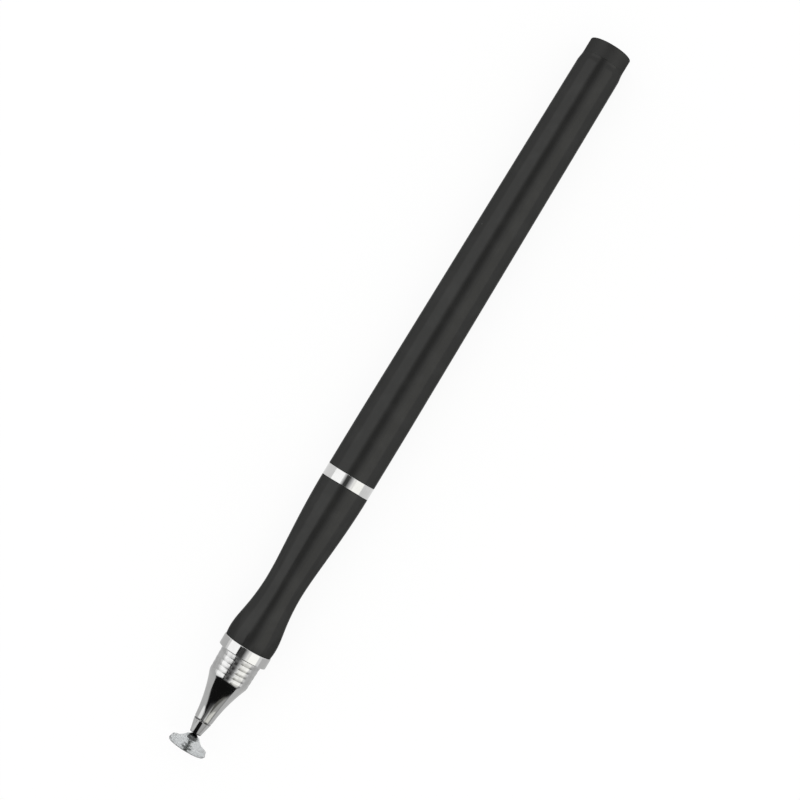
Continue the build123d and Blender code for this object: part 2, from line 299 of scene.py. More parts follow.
class NodeBoard:
    """Lays out and links the nodes of one tree."""

    STEP = 220

    def __init__(self, tree: bpy.types.NodeTree) -> None:
        """Take an empty tree."""
        self.tree = tree

    @classmethod
    def of(cls, owner: bpy.types.ID) -> "NodeBoard":
        """Empty the tree of a material or a world, and take it.

        Args:
            owner: The material or the world.

        Returns:
            The board of its tree.
        """
        owner.use_nodes = True
        owner.node_tree.nodes.clear()
        return cls(owner.node_tree)

    def join(self, value: Any, entry: Socket) -> None:
        """Link a socket to a node's input, or set the input to a plain value.

        Args:
            value: The socket or the plain value.
            entry: The node's input.
        """
        if isinstance(value, Socket):
            self.tree.links.new(value, entry)
        else:
            entry.default_value = value

    def add(self, kind: str, inputs: Optional[dict[Any, Any]] = None, **settings: Any) -> bpy.types.Node:
        """Add a node.

        Args:
            kind: The node's type.
            inputs: Values or sockets for its inputs, by name or number.
            settings: Values for its own properties.

        Returns:
            The node.
        """
        node = self.tree.nodes.new(kind)
        node.location = (self.STEP * len(self.tree.nodes), 0)
        for key, value in settings.items():
            setattr(node, key, value)
        for key, value in (inputs or {}).items():
            self.join(value, node.inputs[key])
        return node

    def math(self, operation: str, *values: Any) -> Socket:
        """Add a Math node on numbers or sockets, and return its result."""
        return self.add("ShaderNodeMath", dict(enumerate(values)), operation=operation).outputs[0]

    def vector(self, operation: str, *values: Any) -> Socket:
        """Add a Vector Math node on vectors or sockets, and return its result."""
        return self.add("ShaderNodeVectorMath", dict(enumerate(values)), operation=operation).outputs[0]

    def parts(self, vector: Socket) -> Sockets:
        """Return the X, Y and Z of a vector."""
        outputs = self.add("ShaderNodeSeparateXYZ", {0: vector}).outputs
        return {axis: outputs[axis] for axis in "XYZ"}

    def ramp(self, value: Any, low: Any, high: Any, start: Any = 0.0, end: Any = 1.0) -> Socket:
        """Turn a range of a value smoothly into another range.

        Args:
            value: The socket to read.
            low: Where the ramp begins.
            high: Where it ends.
            start: Result at low.
            end: Result at high.

        Returns:
            The result's socket.
        """
        inputs = {"Value": value, "From Min": low, "From Max": high, "To Min": start, "To Max": end}
        return self.add("ShaderNodeMapRange", inputs, interpolation_type="SMOOTHSTEP").outputs["Result"]

    def fade(self, value: Any, low: Any, high: Any) -> Socket:
        """Return how far a value has gone from a low to a high, from 0 to 1."""
        inputs = {"Value": value, "From Min": low, "From Max": high}
        return self.add("ShaderNodeMapRange", inputs, interpolation_type="LINEAR").outputs["Result"]

    def blend(self, share: Any, first: Any, second: Any) -> Socket:
        """Mix two colours by a share.

        Args:
            share: How much of the second colour there is.
            first: The first colour or its socket.
            second: The second colour or its socket.

        Returns:
            The mixed colour's socket.
        """
        node = self.add("ShaderNodeMix", {0: share}, data_type="RGBA")
        entries = [socket for socket in node.inputs if socket.type == "RGBA"]
        for entry, colour in zip(entries, (first, second)):
            self.join(colour if isinstance(colour, Socket) else (*colour, 1.0), entry)
        return next(socket for socket in node.outputs if socket.type == "RGBA")

    def place(self) -> Socket:
        """Return the place on the object, in metres."""
        return self.add("ShaderNodeTexCoord").outputs["Object"]

    def noise(self, place: Any, scale: Any, detail: float = 3.0, roughness: float = 0.55) -> Socket:
        """Add a noise texture, and return its value."""
        inputs = {"Vector": place, "Scale": scale, "Detail": detail, "Roughness": roughness}
        return self.add("ShaderNodeTexNoise", inputs).outputs[0]


class Effect:
    """A shader node group that several finishes use, built once."""

    name = "effect"
    inputs: dict[str, float] = {}
    outputs: tuple[str, ...] = ()

    @classmethod
    def tree(cls) -> bpy.types.NodeTree:
        """Find the group's tree, or build it the first time.

        Returns:
            The tree.
        """
        known = bpy.data.node_groups.get(cls.name)
        if known:
            return known
        tree = bpy.data.node_groups.new(cls.name, "ShaderNodeTree")
        for socket, value in cls.inputs.items():
            made = tree.interface.new_socket(socket, in_out="INPUT", socket_type="NodeSocketFloat")
            made.default_value = value
        for socket in cls.outputs:
            tree.interface.new_socket(socket, in_out="OUTPUT", socket_type="NodeSocketFloat")
        board = NodeBoard(tree)
        given = board.add("NodeGroupInput")
        results = cls.draw(board, {socket: given.outputs[socket] for socket in cls.inputs})
        board.add("NodeGroupOutput", results)
        return tree

    @classmethod
    def draw(cls, board: NodeBoard, given: Sockets) -> Sockets:
        """Draw the group's nodes.

        Args:
            board: The group's board.
            given: Its input sockets by name.

        Returns:
            Its output sockets by name.
        """
        raise NotImplementedError

    @classmethod
    def on(cls, board: NodeBoard, **values: float) -> Sockets:
        """Place the group in a material.

        Args:
            board: The material's board.
            values: Its inputs, with the first letter small.

        Returns:
            Its output sockets by name.
        """
        inputs = {key.capitalize(): value for key, value in values.items()}
        node = board.add("ShaderNodeGroup", inputs, node_tree=cls.tree())
        return {socket: node.outputs[socket] for socket in cls.outputs}


class TurningMarks(Effect):
    """Fine rings that a cutting tool or a polishing wheel leaves round a turned piece."""

    name = "turning_marks"
    inputs = {"Pitch": 0.00005, "Waver": 60.0}
    outputs = ("Height", "Band")
    broader = (0.12, 1.0, 1.0)
    band_edges = (0.35, 0.7)

    @classmethod
    def draw(cls, board: NodeBoard, given: Sockets) -> Sockets:
        """Stretch noise round the axis: short along the pen, long round it.

        Args:
            board: The group's board.
            given: Its input sockets by name.

        Returns:
            Its output sockets by name.
        """
        per_metre = board.math("DIVIDE", 1.0, given["Pitch"])
        stretch = board.add("ShaderNodeCombineXYZ", {0: per_metre, 1: given["Waver"], 2: given["Waver"]})
        fine = board.vector("MULTIPLY", board.place(), stretch.outputs[0])
        band = board.noise(board.vector("MULTIPLY", fine, cls.broader), 1.0, detail=1.0)
        return {"Height": board.noise(fine, 1.0, detail=2.0), "Band": board.ramp(band, *cls.band_edges)}


class Handling(Effect):
    """Faint smears and hair scratches from fingers and pockets."""

    name = "handling"
    inputs = {"Scale": 260.0, "Width": 0.012}
    outputs = ("Smear", "Scratch")
    smear_edges = (0.42, 0.68)
    scratch_turn = (0.2, 0.35, 0.5)
    scratch_stretch = (0.35, 1.6, 1.6)
    patch_scale = 2.7
    patch_edges = (0.52, 0.66)

    @classmethod
    def draw(cls, board: NodeBoard, given: Sockets) -> Sockets:
        """Draw cloudy smears, and cell borders stretched along the pen and broken up for scratches.

        Args:
            board: The group's board.
            given: Its input sockets by name.

        Returns:
            Its output sockets by name.
        """
        place = board.place()
        cloud = board.noise(place, given["Scale"], detail=5.0, roughness=0.6)
        turned = {"Vector": place, "Rotation": cls.scratch_turn, "Scale": cls.scratch_stretch}
        lain = board.add("ShaderNodeMapping", turned).outputs[0]
        cells = {"Vector": lain, "Scale": given["Scale"]}
        border = board.add("ShaderNodeTexVoronoi", cells, feature="DISTANCE_TO_EDGE").outputs["Distance"]
        line = board.ramp(border, 0.0, given["Width"], 1.0, 0.0)
        patches = board.noise(place, board.math("MULTIPLY", given["Scale"], cls.patch_scale))
        broken = board.math("MULTIPLY", line, board.ramp(patches, *cls.patch_edges))
        return {"Smear": board.ramp(cloud, *cls.smear_edges), "Scratch": broken}


class Dust(Effect):
    """Sparse specks of dust."""

    name = "dust"
    inputs = {"Scale": 900.0, "Share": 0.06, "Size": 0.16}
    outputs = ("Speck",)

    @classmethod
    def draw(cls, board: NodeBoard, given: Sockets) -> Sockets:
        """Keep a share of scattered round spots.

        Args:
            board: The group's board.
            given: Its input sockets by name.

        Returns:
            Its output sockets by name.
        """
        cells = board.add("ShaderNodeTexVoronoi", {"Vector": board.place(), "Scale": given["Scale"]})
        chosen = board.math("LESS_THAN", cells.outputs["Color"], given["Share"])
        spot = board.ramp(cells.outputs["Distance"], 0.0, given["Size"], 1.0, 0.0)
        return {"Speck": board.math("MULTIPLY", spot, chosen)}


class RingWear(Effect):
    """A worn or rubbed band round the pen at one station, which chrome also uses for painted shade."""

    name = "ring_wear"
    inputs = {"Station": 0.0, "Reach": 0.001, "Grain": 900.0}
    outputs = ("Worn",)
    grain_edges = (0.3, 0.7)

    @classmethod
    def draw(cls, board: NodeBoard, given: Sockets) -> Sockets:
        """Fade a band out on both sides of its station, and break it up.

        Args:
            board: The group's board.
            given: Its input sockets by name.

        Returns:
            Its output sockets by name.
        """
        place = board.place()
        away = board.math("ABSOLUTE", board.math("SUBTRACT", board.parts(place)["X"], given["Station"]))
        band = board.ramp(away, 0.0, given["Reach"], 1.0, 0.0)
        grain = board.ramp(board.noise(place, given["Grain"]), *cls.grain_edges)
        return {"Worn": board.math("MULTIPLY", band, grain)}


# Finishes


@dataclass(frozen=True)
class Finish:
    """A surface finish, made into a material once."""

    name: str
    colour: Colour
    roughness: float

    def material(self) -> bpy.types.Material:
        """Find the finish's material, or build it the first time.

        Returns:
            The material.
        """
        known = bpy.data.materials.get(self.name)
        if known:
            return known
        material = bpy.data.materials.new(self.name)
        board = NodeBoard.of(material)
        shader = board.add("ShaderNodeBsdfPrincipled", self.dress(board))
        board.add("ShaderNodeOutputMaterial", {"Surface": shader.outputs["BSDF"]})
        return material

    def dress(self, board: NodeBoard) -> dict[str, Any]:
        """Draw what feeds the shader, and return a value or a socket for each of its inputs."""
        raise NotImplementedError

    def shade(self, share: float) -> Colour:
        """Return the colour, made darker or lighter by a share."""
        return tuple(share * part for part in self.colour)

    def vary(self, board: NodeBoard, *shares: tuple[Socket, float]) -> Socket:
        """Add shares of masks to the roughness.

        Args:
            board: The material's board.
            shares: The masks, each with its share.

        Returns:
            The roughness's socket.
        """
        total: Any = self.roughness
        for mask, share in shares:
            total = board.math("MULTIPLY_ADD", mask, share, total)
        return total

    def bump(self, board: NodeBoard, height: Socket, depth: float) -> Socket:
        """Return a normal that is bumped by a height of up to a depth in metres."""
        inputs = {"Height": height, "Distance": depth, "Strength": 1.0}
        return board.add("ShaderNodeBump", inputs).outputs["Normal"]


@dataclass(frozen=True)
class Lacquer(Finish):
    """Black lacquer sprayed over metal, with smears, hair scratches, specks and a rubbed band."""

    rubbed: Pair
    rubbed_grain: float = 420.0
    rubbed_haze: float = -0.03
    metallic: float = 0.52
    specular: float = 0.0
    edge_tint: Colour = (0.5, 0.5, 0.5)
    smear_scale: float = 240.0
    smear_shade: float = 1.12
    smear_haze: float = 0.04
    scratch_haze: float = 0.06
    speck_colour: Colour = (0.12, 0.12, 0.115)
    speck_share: float = 0.5
    speck_haze: float = 0.3
    spray_scale: float = 2600.0
    spray_depth: float = 6e-7

    def dress(self, board: NodeBoard) -> dict[str, Any]:
        """Draw what feeds the shader.

        Args:
            board: The material's board.

        Returns:
            A value or a socket for each of the shader's inputs.
        """
        hands = Handling.on(board, scale=self.smear_scale)
        speck = Dust.on(board)["Speck"]
        station, reach = self.rubbed
        rubbed = RingWear.on(board, station=station, reach=reach, grain=self.rubbed_grain)["Worn"]
        smeared = board.blend(hands["Smear"], self.colour, self.shade(self.smear_shade))
        specks = board.math("MULTIPLY", speck, self.speck_share)
        hazes = (
            (hands["Smear"], self.smear_haze),
            (hands["Scratch"], self.scratch_haze),
            (speck, self.speck_haze),
            (rubbed, self.rubbed_haze),
        )
        spray = board.noise(board.place(), self.spray_scale, detail=2.0)
        return {
            "Metallic": self.metallic,
            "Specular IOR Level": self.specular,
            "Specular Tint": (*self.edge_tint, 1.0),
            "Base Color": board.blend(specks, smeared, self.speck_colour),
            "Roughness": self.vary(board, *hazes),
            "Normal": self.bump(board, spray, self.spray_depth),
        }


@dataclass(frozen=True)
class Chrome(Finish):
    """Bright chrome plating, with polishing rings, smears, hair scratches and worn bands, which can also
    darken the plating as painted shade.
    """

    worn: tuple[Pair, ...]
    worn_haze: float = 0.06
    # Painted shade: how strongly the worn bands darken the plating, and the share of its colour that they
    # darken it to
    painted_shade: float = 0.0
    painted_shade_tone: float = 0.04
    smear_scale: float = 420.0
    smear_share: float = 0.5
    smear_shade: float = 0.9
    smear_haze: float = 0.03
    scratch_width: float = 0.01
    scratch_haze: float = 0.05
    mark_pitch: float = 0.00007
    mark_waver: float = 40.0
    mark_haze: float = 0.02
    mark_depth: float = 2.5e-7

    def dress(self, board: NodeBoard) -> dict[str, Any]:
        """Draw what feeds the shader.

        Args:
            board: The material's board.

        Returns:
            A value or a socket for each of the shader's inputs.
        """
        marks = TurningMarks.on(board, pitch=self.mark_pitch, waver=self.mark_waver)
        hands = Handling.on(board, scale=self.smear_scale, width=self.scratch_width)
        worn: Any = 0.0
        for station, reach in self.worn:
            worn = board.math("ADD", RingWear.on(board, station=station, reach=reach)["Worn"], worn)
        # Painted shade: the worn bands pull the plating's colour down towards near black
        painted_shade_mask = board.math("MINIMUM", board.math("MULTIPLY", worn, self.painted_shade), 1.0)
        smear = board.math("MULTIPLY", hands["Smear"], self.smear_share)
        unshaded = board.blend(smear, self.colour, self.shade(self.smear_shade))
        hazes = (
            (hands["Smear"], self.smear_haze),
            (hands["Scratch"], self.scratch_haze),
            (marks["Band"], self.mark_haze),
            (worn, self.worn_haze),
        )
        return {
            "Metallic": 1.0,
            "Base Color": board.blend(painted_shade_mask, unshaded, self.shade(self.painted_shade_tone)),
            "Roughness": self.vary(board, *hazes),
            "Normal": self.bump(board, marks["Height"], self.mark_depth),
        }


@dataclass(frozen=True)
class TurnedMetal(Finish):
    """Bare turned metal: tool rings and a cloudy tarnish."""

    tarnish: Colour
    tarnish_scale: float = 500.0
    tarnish_haze: float = 0.1
    mark_pitch: float = 0.00012
    mark_waver: float = 30.0
    mark_haze: float = 0.05
    mark_depth: float = 1.5e-6

    def dress(self, board: NodeBoard) -> dict[str, Any]:
        """Draw what feeds the shader.

        Args:
            board: The material's board.

        Returns:
            A value or a socket for each of the shader's inputs.
        """
        marks = TurningMarks.on(board, pitch=self.mark_pitch, waver=self.mark_waver)
        cloud = Handling.on(board, scale=self.tarnish_scale)["Smear"]
        return {
            "Metallic": 1.0,
            "Base Color": board.blend(cloud, self.colour, self.tarnish),
            "Roughness": self.vary(board, (cloud, self.tarnish_haze), (marks["Band"], self.mark_haze)),
            "Normal": self.bump(board, marks["Height"], self.mark_depth),
        }


@dataclass(frozen=True)
class ClearPlastic(Finish):
    """Clear polished plastic, with faint moulding swirls and smears."""

    ior: float = 1.49
    transmission: float = 1.0
    smear_scale: float = 700.0
    smear_shade: float = 0.97
    smear_haze: float = 0.03
    scratch_width: float = 0.008
    scratch_haze: float = 0.08
    swirl_scale: float = 900.0
    swirl_depth: float = 1e-7

    def dress(self, board: NodeBoard) -> dict[str, Any]:
        """Draw what feeds the shader.

        Args:
            board: The material's board.

        Returns:
            A value or a socket for each of the shader's inputs.
        """
        hands = Handling.on(board, scale=self.smear_scale, width=self.scratch_width)
        hazes = (hands["Smear"], self.smear_haze), (hands["Scratch"], self.scratch_haze)
        swirl = board.noise(board.place(), self.swirl_scale, detail=1.0)
        return {
            "IOR": self.ior,
            "Transmission Weight": self.transmission,
            "Base Color": board.blend(hands["Smear"], self.colour, self.shade(self.smear_shade)),
            "Roughness": self.vary(board, *hazes),
            "Normal": self.bump(board, swirl, self.swirl_depth),
        }


@dataclass(frozen=True)
class Rubber(Finish):
    """Matt rubber with a fine grain and a pale bloom."""

    bloom: Colour
    bloom_scale: float = 600.0
    bloom_share: float = 0.6
    bloom_haze: float = 0.12
    grain_scale: float = 9000.0
    grain_depth: float = 4e-6

    def dress(self, board: NodeBoard) -> dict[str, Any]:
        """Draw what feeds the shader.

        Args:
            board: The material's board.

        Returns:
            A value or a socket for each of the shader's inputs.
        """
        cloud = Handling.on(board, scale=self.bloom_scale)["Smear"]
        pale = board.math("MULTIPLY", cloud, self.bloom_share)
        grain = board.noise(board.place(), self.grain_scale)
        return {
            "Base Color": board.blend(pale, self.colour, self.bloom),
            "Roughness": self.vary(board, (cloud, self.bloom_haze)),
            "Normal": self.bump(board, grain, self.grain_depth),
        }


BLACK: Colour = (0.0338, 0.034, 0.0332)
BRIGHT: Colour = (0.58, 0.58, 0.575)
SATIN = 0.16


class Finishes:
    """The finishes that are the same at any place on the pen."""

    CLEAR = ClearPlastic(
        "clear_polished_plastic", (0.65, 0.67, 0.677), roughness=0.2, ior=1.35, transmission=0.95
    )
    FILM = ClearPlastic("clear_contact_film", (0.95, 0.962, 0.965), roughness=0.05)
    BALL = TurnedMetal(
        "dark_ball_steel", (0.03, 0.03, 0.03), roughness=0.16, tarnish=(0.02, 0.02, 0.02), mark_depth=2e-7
    )
    CONTACT = TurnedMetal(
        "dark_contact_steel", (0.05, 0.062, 0.05), roughness=0.22, tarnish=(0.03, 0.036, 0.03),
        mark_depth=4e-7,
    )
    STEEL = TurnedMetal(
        "turned_steel", (0.56, 0.56, 0.55), roughness=0.2, tarnish=(0.44, 0.44, 0.43), mark_depth=5e-7
    )
    BRONZE = TurnedMetal("spring_bronze", (0.62, 0.44, 0.22), roughness=0.28, tarnish=(0.42, 0.28, 0.14))
    BRASS = TurnedMetal("turned_brass", (0.72, 0.56, 0.26), roughness=0.25, tarnish=(0.55, 0.4, 0.18))
    RUBBER = Rubber("black_rubber", (0.022, 0.022, 0.022), roughness=0.62, bloom=(0.06, 0.06, 0.06))


# The pen's pieces


@dataclass
class Assembly:
    """A sub-assembly of the pen: builds new pieces over CAD nodes and dresses the nodes that stay."""

    frame: dict[str, Any]
    lathe: Lathe

    def build(self) -> None:
        """Build and dress every piece of the sub-assembly."""
        raise NotImplementedError

    @staticmethod
    def band(station: float, reach: float) -> Pair:
        """Return the station and reach of a worn band in metres."""
        return station * MM, reach * MM

    def fit(self, node: str, outline: Outline, finish: Finish, body: Body, slot: Slot) -> None:
        """Turn a piece that stands for a CAD node.

        Args:
            node: The node that it replaces.
            outline: Its half section.
            finish: Its finish.
            body: The body that it rides on.
            slot: The record's slot that its finish belongs to; not used.
        """
        piece = self.lathe.turn(f"{node}_turned", outline)
        piece.data.materials.append(finish.material())
        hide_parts(node)
        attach(piece, body.value)
        log.info("%s: %d faces, %s", piece.name, len(piece.data.polygons), finish.name)

    def keep(self, node: str, finish: Finish) -> None:
        """Dress a CAD node that stays as it is.

        Args:
            node: The node's name.
            finish: Its finish.
        """
        for slot in self.frame["nodes"][node].material_slots:
            slot.material = finish.material()
        log.info("%s: kept, %s", node, finish.name)


@dataclass
class TouchDisc(Assembly):
    """The clear disc with its film and its dark contact."""

    rim_draft: float = 0.26
    rim_height: float = 1.0
    rim_round: float = 0.14
    rim_lip: float = 0.06
    flare_rise: float = -0.244
    hub_radius: float = 1.133
    socket_radius: float = 1.03
    pad_room: float = 0.01
    pad_radius: float = 1.0
    pad_thickness: float = 0.25
    pad_edge: float = 0.06
    stem_radius: float = 0.35
    film_lift: float = 0.012

    def build(self) -> None:
        """Build and dress every piece of the sub-assembly."""
        disc, film, pad = Span.of("touch_disc"), Span.of("disc_film"), Span.of("disc_contact")
        ball = Span.of("pivot_ball")
        middle = ball.front + ball.radius
        turned = self.disc(disc, pad.front, middle)
        self.fit("touch_disc", turned, Finishes.CLEAR, Body.DISC, Slot.CLEAR_PLASTIC)
        self.fit("disc_contact", self.contact(pad, middle), Finishes.CONTACT, Body.DISC, Slot.DARK_METAL)
        self.fit("disc_film", self.film(film), Finishes.FILM, Body.DISC, Slot.CLEAR_FILM)

    def socket_station(self, middle: float, radius: float) -> float:
        """Return the station of the socket's floor at a radius."""
        return middle - math.sqrt(self.socket_radius**2 - radius**2)

    def cap_rise(self, first: float, second: float) -> float:
        """Return the rise of a stretch of the socket's sphere between two angles from the axis."""
        return self.socket_radius * (1 - math.cos((second - first) / 2))

    def disc(self, span: Span, face: float, middle: float) -> Outline:
        """Draw the disc: contact face, drafted rim, flared hub, socket and the rivet's hole.

        Args:
            span: The disc's span.
            face: Station of the contact's outer face.
            middle: Station of the ball's middle.

        Returns:
            The outline.
        """
        stem, pad = self.stem_radius + self.pad_room, self.pad_radius + self.pad_room
        roof = face + self.pad_thickness + self.pad_room
        rim_back, rim_top = face + self.rim_height, span.radius - self.rim_draft
        mouth = math.sqrt(self.socket_radius**2 - (span.back - middle) ** 2)
        mouth_angle = math.atan2(mouth, middle - span.back)
        stem_angle = math.asin(stem / self.socket_radius)
        return (
            Outline(span.front, pad)
            .front_edge(span.front, span.radius, self.rim_round)
            .line(rim_back - self.rim_lip, rim_top + self.rim_lip / 2)
            .edge(rim_back, rim_top - self.rim_lip / 2)
            .arc(span.back, self.hub_radius, self.flare_rise, steps=28)
            .line(span.back, mouth)
            .arc(self.socket_station(middle, stem), stem, -self.cap_rise(stem_angle, mouth_angle), steps=18)
            .line(roof, stem)
            .line(roof, pad)
            .close()
        )

    def contact(self, span: Span, middle: float) -> Outline:
        """Draw the contact: a pad with a broken edge and a stem with a hollow end under the ball.

        Args:
            span: The contact's span.
            middle: Station of the ball's middle.

        Returns:
            The outline.
        """
        back = span.front + self.pad_thickness
        stem_angle = math.asin(self.stem_radius / self.socket_radius)
        return (
            Outline(span.front, 0)
            .front_edge(span.front, self.pad_radius, self.pad_edge)
            .line(back, self.pad_radius)
            .line(back, self.stem_radius)
            .line(self.socket_station(middle, self.stem_radius), self.stem_radius)
            .arc(middle - self.socket_radius, 0, -self.cap_rise(0, stem_angle), steps=8)
        )

    def film(self, span: Span) -> Outline:
        """Draw the film on the contact face, a hair clear of the disc.

        Args:
            span: The film's span.

        Returns:
            The outline.
        """
        inner, back = self.pad_radius + self.pad_room, span.back - self.film_lift
        return (
            Outline(span.front, inner)
            .line(span.front, span.radius)
            .line(back, span.radius)
            .line(back, inner)
            .close()
        )


@dataclass
class Pivot(Assembly):
    """The ball that the disc turns on, and its headed pin."""

    hole_radius: float = 0.33
    hole_past_middle: float = 0.5
    pin_radius: float = 0.32
    head_length: float = 0.6
    head_edge: float = 0.06

    def build(self) -> None:
        """Build and dress every piece of the sub-assembly."""
        ball, pin = Span.of("pivot_ball"), Span.of("pivot_pin")
        self.fit("pivot_ball", self.ball(ball), Finishes.BALL, Body.PIVOT, Slot.DARK_METAL)
        self.fit("pivot_pin", self.pin(pin), Finishes.BALL, Body.PIVOT, Slot.STEEL)

    def ball(self, span: Span) -> Outline:
        """Draw the ball with the blind hole for its pin.

        Args:
            span: The ball's span.

        Returns:
            The outline.
        """
        middle, radius = span.front + span.radius, span.radius
        mouth = math.sqrt(radius**2 - self.hole_radius**2)
        sweep = math.pi - math.asin(self.hole_radius / radius)
        floor = middle - self.hole_past_middle
        return (
            Outline(span.front, 0)
            .arc(middle + mouth, self.hole_radius, radius * (1 - math.cos(sweep / 2)), steps=48)
            .line(floor, self.hole_radius)
            .line(floor, 0)
        )

    def pin(self, span: Span) -> Outline:
        """Draw the pin, with a rounded head held in the ferrule.

        Args:
            span: The pin's span.

        Returns:
            The outline.
        """
        head = span.back - self.head_length
        return (
            Outline(span.front, 0)
            .line(span.front, self.pin_radius)
            .line(head, self.pin_radius)
            .front_edge(head, span.radius, self.head_edge)
            .line(span.back, span.radius)
            .line(span.back, 0)
        )


@dataclass
class PushInTip(Assembly):
    """The small bright cone behind the disc and the shank that plugs it into the nose."""

    pin_hole: float = 0.35
    head_room: float = 0.63
    wall: float = 0.65
    shank_hole: float = 0.81
    front_radius: float = 1.05
    edge: float = 0.12
    # Reaches of the bands at the ferrule's two ends, which add wear and painted shade
    front_wear_and_shade_reach: float = 0.35
    back_wear_and_shade_reach: float = 0.2
    shank_chamfer: float = 0.2

    def build(self) -> None:
        """Build and dress every piece of the sub-assembly."""
        ferrule, shank = Span.of("tip_ferrule"), Span.of("tip_shank")
        # Painted shade: both ends of the ferrule are darkened strongly, beside the disc's hub and where it
        # meets the nose
        ends = self.band(ferrule.front, self.front_wear_and_shade_reach), self.band(ferrule.back, self.back_wear_and_shade_reach)
        chrome = Chrome("chrome_ferrule", BRIGHT, roughness=0.07, worn=ends, painted_shade=2.0)
        self.fit("tip_ferrule", self.ferrule(ferrule, shank.front), chrome, Body.TIP, Slot.CHROME)
        self.fit("tip_shank", self.shank(shank), Finishes.STEEL, Body.TIP, Slot.STEEL)

    def ferrule(self, span: Span, shank_front: float) -> Outline:
        """Draw the ferrule, bored for the pin, its head and the shank.

        Args:
            span: The ferrule's span.
            shank_front: Station of the shank's front end.

        Returns:
            The outline.
        """
        head = span.front + self.wall
        return (
            Outline(span.front, self.pin_hole)
            .front_edge(span.front, self.front_radius, self.edge)
            .back_edge(span.back, span.radius, self.edge)
            .line(span.back, self.shank_hole)
            .line(shank_front, self.shank_hole)
            .line(shank_front, self.head_room)
            .line(head, self.head_room)
            .line(head, self.pin_hole)
            .close()
        )

    def shank(self, span: Span) -> Outline:
        """Draw the shank, chamfered where it enters the nose.

        Args:
            span: The shank's span.

        Returns:
            The outline.
        """
        return (
            Outline(span.front, 0)
            .line(span.front, span.radius)
            .line(span.back - self.shank_chamfer, span.radius)
            .line(span.back, span.radius - self.shank_chamfer)
            .line(span.back, 0)
        )


@dataclass
class Nose(Assembly):
    """The bright nose: flared cone, ribs and flange, with the tip's spring sleeve inside."""

    guide_radius: float = 0.83
    guide_length: float = 2.0
    tip_radius: float = 1.66
    tip_edge: float = 0.06
    cone_length: float = 7.7
    cone_back_radius: float = 3.5
    cone_rise: float = -0.28
    rib_count: int = 5
    rib_pitch: float = 0.94
    front_rib_length: float = 1.15
    rib_depth: float = 0.045
    neck_front_radius: float = 3.62
    neck_back_radius: float = 3.77
    flange_length: float = 2.0
    flange_edge: float = 0.15
    thread_radius: float = 2.4
    clip_radius: float = 1.35
    worn_reach: float = 3.4
    # Reach of the band on the last rib, which adds wear and painted shade beside the flange
    last_rib_wear_and_shade_reach: float = 0.6

    def build(self) -> None:
        """Build and dress every piece of the sub-assembly."""
        span = Span.of("nose_cone")
        flange = Span.of("grip").front - self.flange_length
        ribs, last_rib = flange - self.ribs_length() / 2, flange - self.rib_pitch / 2
        # The bands also darken the plating over the ribs; on the last rib this is painted shade from the
        # flange
        worn = self.band(ribs, self.worn_reach), self.band(last_rib, self.last_rib_wear_and_shade_reach)
        chrome = Chrome("chrome_nose", BRIGHT, roughness=0.06, worn=worn, worn_haze=0.2, painted_shade=0.2)
        self.fit("nose_cone", self.nose(span, flange), chrome, Body.PEN, Slot.CHROME)
        self.keep("tip_clip", Finishes.BRONZE)
        self.keep("clip_plug", Finishes.BRASS)
        self.keep("nose_seal", Finishes.RUBBER)

    def nose(self, span: Span, flange: float) -> Outline:
        """Draw the nose, bored for the tip and its sleeve.

        Args:
            span: The nose's span.
            flange: Station of the flange's front.

        Returns:
            The outline.
        """
        neck, grip = span.front + self.cone_length, flange + self.flange_length
        outline = (
            Outline(span.front, self.guide_radius)
            .front_edge(span.front, self.tip_radius, self.tip_edge)
            .arc(neck, self.cone_back_radius, self.cone_rise, steps=40)
        )
        start = Vector((neck, self.cone_back_radius))
        for number in range(self.rib_count):
            back = neck + self.front_rib_length + number * self.rib_pitch
            end = Vector((back, self.crest(back, neck, flange) - self.rib_depth))
            middle = (start + end) / 2
            outline.arc(*end, self.crest(middle.x, neck, flange) - middle.y, steps=14)
            start = end
        return (
            outline.front_edge(flange, span.radius, self.flange_edge)
            .back_edge(grip, span.radius, self.flange_edge)
            .line(grip, self.thread_radius)
            .line(span.back, self.thread_radius)
            .line(span.back, self.clip_radius)
            .line(span.front + self.guide_length, self.clip_radius)
            .line(span.front + self.guide_length, self.guide_radius)
            .close()
        )

    def ribs_length(self) -> float:
        """Return how far the ribs reach in front of the flange."""
        return self.front_rib_length + (self.rib_count - 1) * self.rib_pitch

    def crest(self, station: float, neck: float, flange: float) -> float:
        """Return the radius over the ribs at a station between the cone and the flange."""
        share = (station - neck) / (flange - neck)
        return self.neck_front_radius + (self.neck_back_radius - self.neck_front_radius) * share


